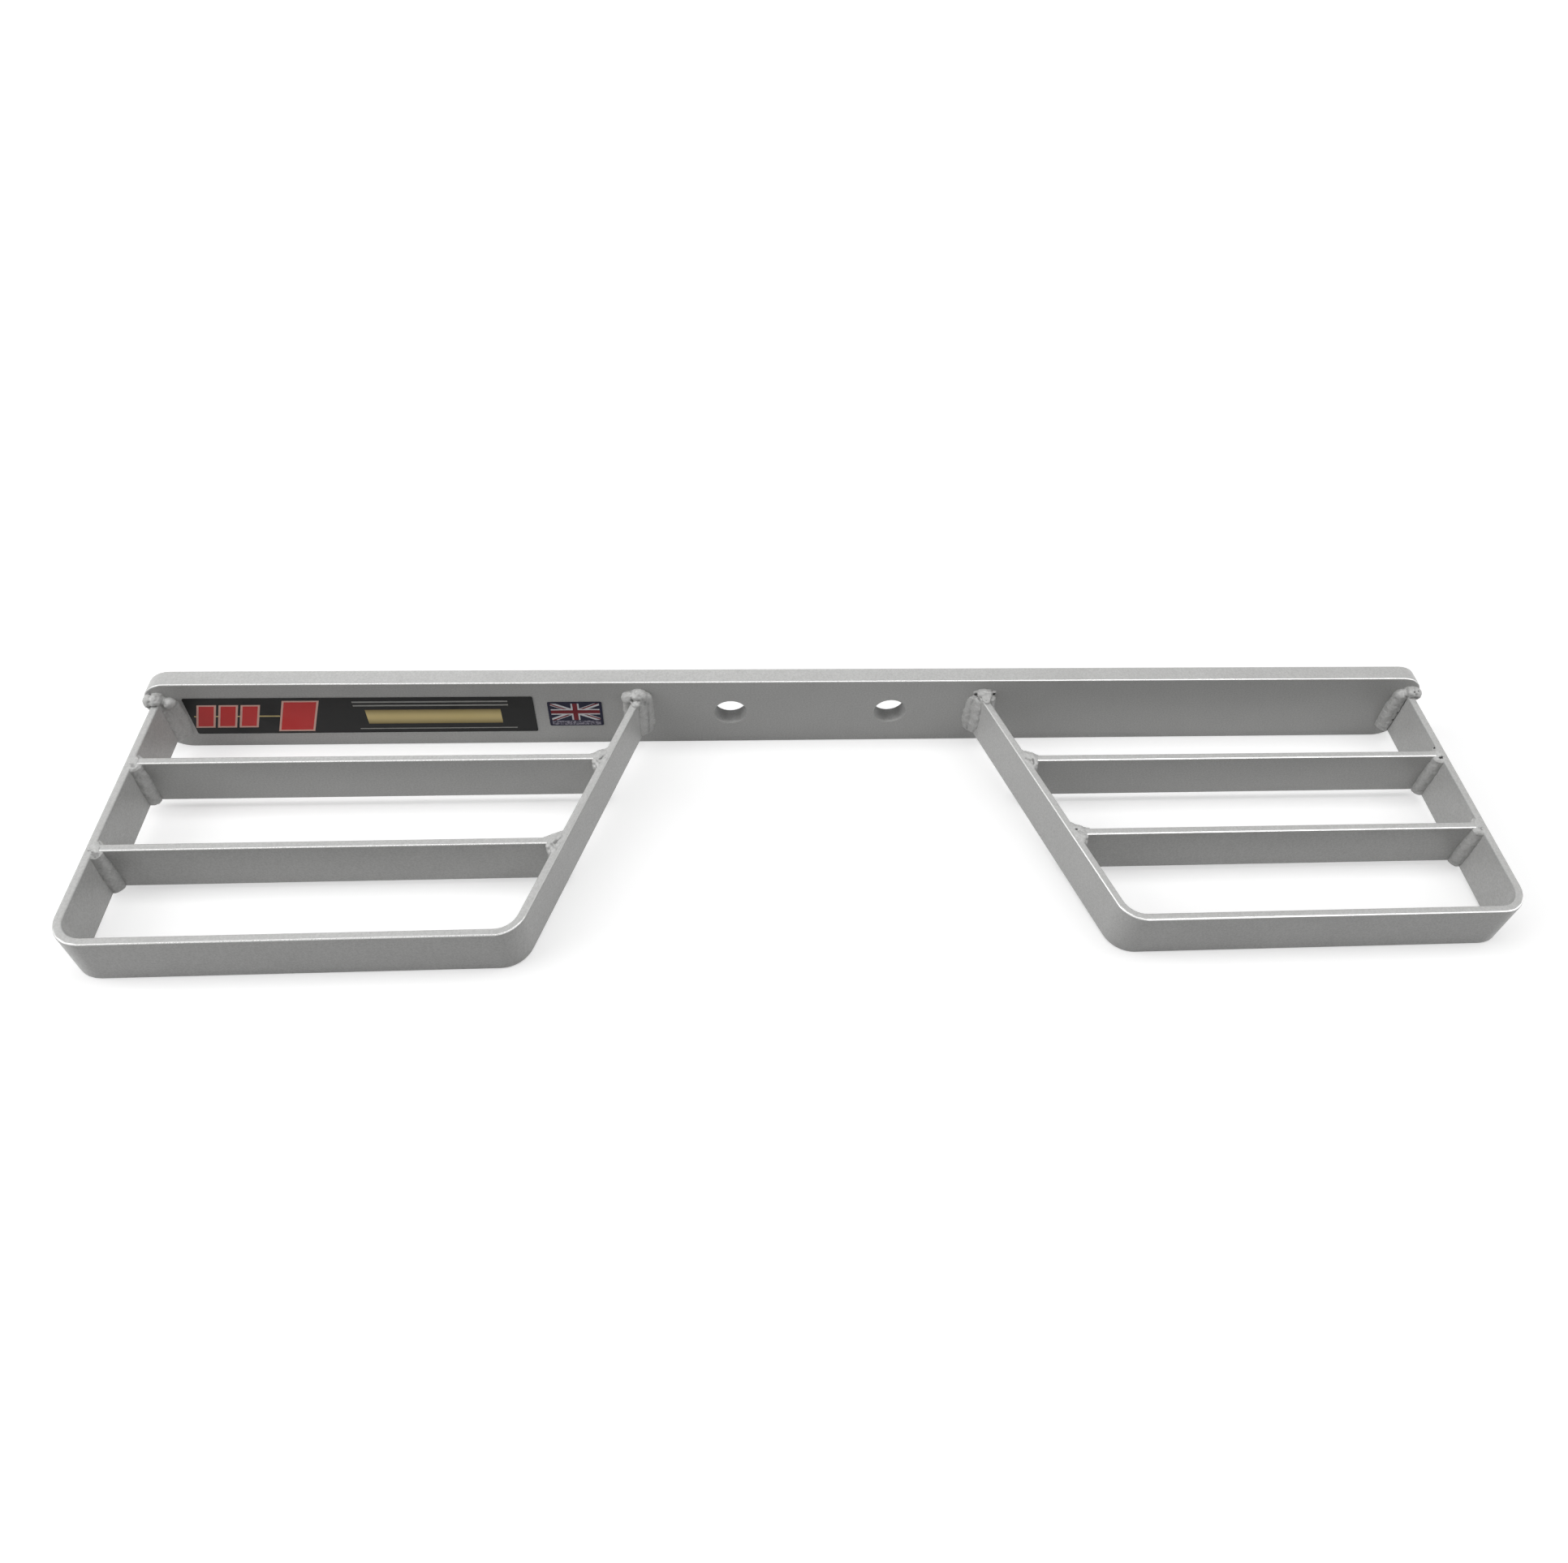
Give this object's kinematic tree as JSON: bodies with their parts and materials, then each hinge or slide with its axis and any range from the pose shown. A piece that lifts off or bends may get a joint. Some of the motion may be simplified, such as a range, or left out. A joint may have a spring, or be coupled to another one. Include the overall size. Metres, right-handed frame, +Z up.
{
  "type": "towbar step",
  "caption": "Welded steel rear step that bolts between a towbar and its tow ball, with a slatted tread frame on each side of the ball gap.",
  "frame": {"origin": "middle of the back bar's rear face, half way between the two bolt holes", "axes": "+X along the bar to the right as seen from behind the vehicle, +Y out of the bar's rear face towards the vehicle, +Z up"},
  "size_m": [0.71, 0.157, 0.05],
  "materials": {
    "silver_paint": "satin silver paint on flat steel bar and strip",
    "painted_weld": "the same silver paint over rough weld beads",
    "label_vinyl": "printed black vinyl sticker",
    "flag_vinyl": "printed vinyl sticker"
  },
  "bodies": {
    "root": {"back_bar": "silver_paint", "left_frame": "silver_paint", "right_frame": "silver_paint", "left_rear_slat": "silver_paint", "left_front_slat": "silver_paint", "right_rear_slat": "silver_paint", "right_front_slat": "silver_paint", "left_outer_bar_weld": "painted_weld", "left_inner_bar_weld": "painted_weld", "right_outer_bar_weld": "painted_weld", "right_inner_bar_weld": "painted_weld", "left_rear_outer_weld": "painted_weld", "left_rear_inner_weld": "painted_weld", "left_front_outer_weld": "painted_weld", "left_front_inner_weld": "painted_weld", "right_rear_outer_weld": "painted_weld", "right_rear_inner_weld": "painted_weld", "right_front_outer_weld": "painted_weld", "right_front_inner_weld": "painted_weld", "maker_label": "label_vinyl", "flag_sticker": "flag_vinyl"}
  },
  "joints": []
}
